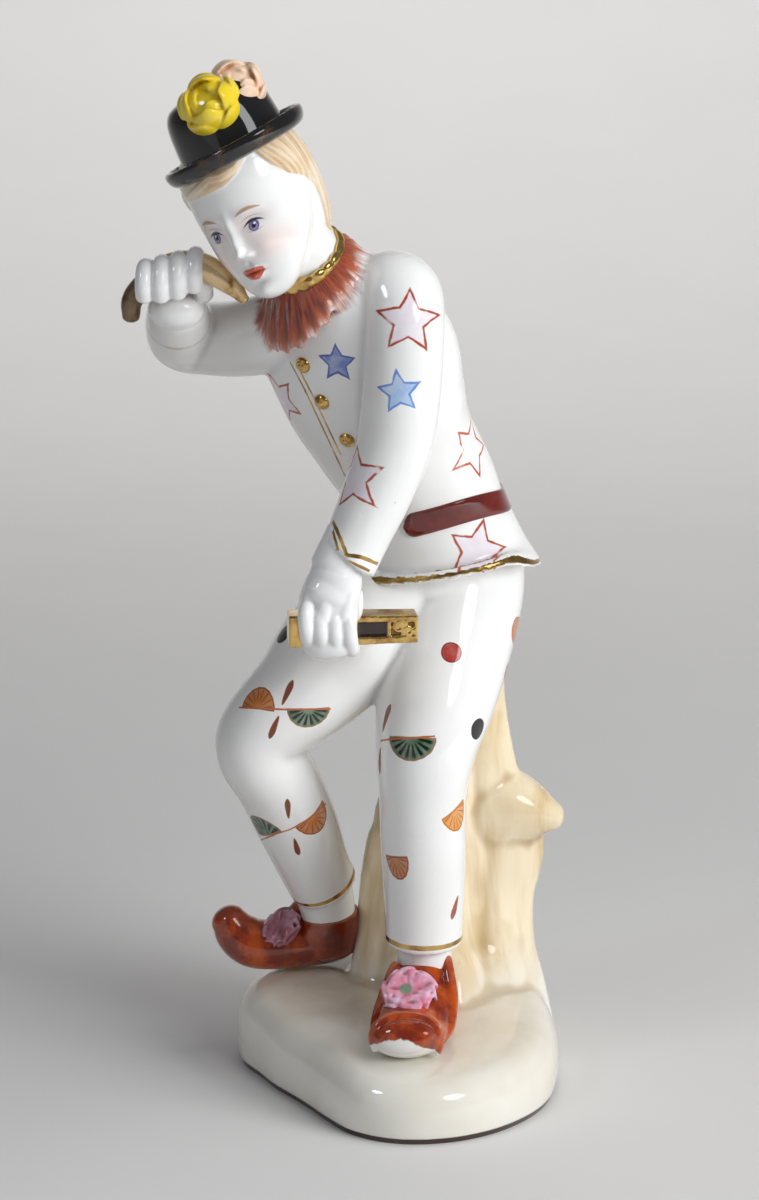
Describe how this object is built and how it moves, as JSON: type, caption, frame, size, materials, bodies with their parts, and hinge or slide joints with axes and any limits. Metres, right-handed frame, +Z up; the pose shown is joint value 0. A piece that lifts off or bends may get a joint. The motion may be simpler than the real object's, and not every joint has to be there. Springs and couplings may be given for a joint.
{
  "type": "porcelain clown figurine",
  "caption": "Glazed porcelain pierrot figurine in a painted hat, ruff and suit, leaning against a tree stump that grows out of a rounded base.",
  "frame": {"origin": "on the floor, in the middle of the base's underside", "axes": "+Z up, along the figure's height; the figure looks towards -Y, turned a little to -X; its own left is at +X"},
  "size_m": [0.1025, 0.0814, 0.2443],
  "materials": {
    "porcelain": "glossy clear glaze over hand-painted enamels and gilding"
  },
  "bodies": {
    "root": {"figurine": "porcelain"}
  },
  "joints": []
}
